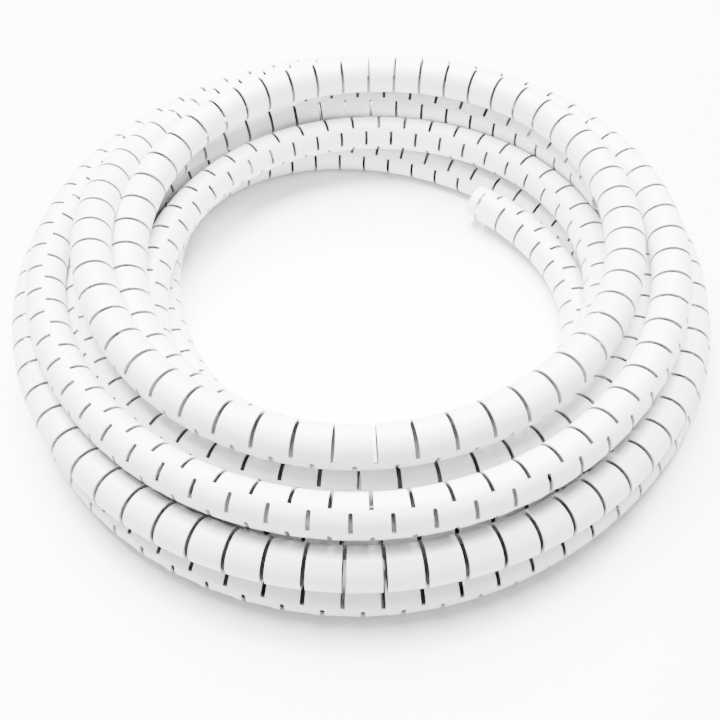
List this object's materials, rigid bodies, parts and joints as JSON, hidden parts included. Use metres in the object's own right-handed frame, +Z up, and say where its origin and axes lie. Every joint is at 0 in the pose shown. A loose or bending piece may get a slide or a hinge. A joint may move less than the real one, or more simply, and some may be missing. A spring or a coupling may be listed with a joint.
{
  "type": "slotted cable tidy tube coil",
  "caption": "Flexible white plastic tube for bundling cables, split along a wavy seam and slotted across, wound in a loose flat-lying coil with one open end in the eye.",
  "frame": {"origin": "centre of the coil on the floor that it lies on", "axes": "+Z up along the coil's axis; +X to the right and +Y away, as the coil is seen with its open end at the right back of the eye"},
  "size_m": [0.4742, 0.4742, 0.0943],
  "materials": {
    "white_plastic": "smooth satin white polyethylene"
  },
  "bodies": {
    "root": {"cable_tube": "white_plastic"}
  },
  "joints": []
}
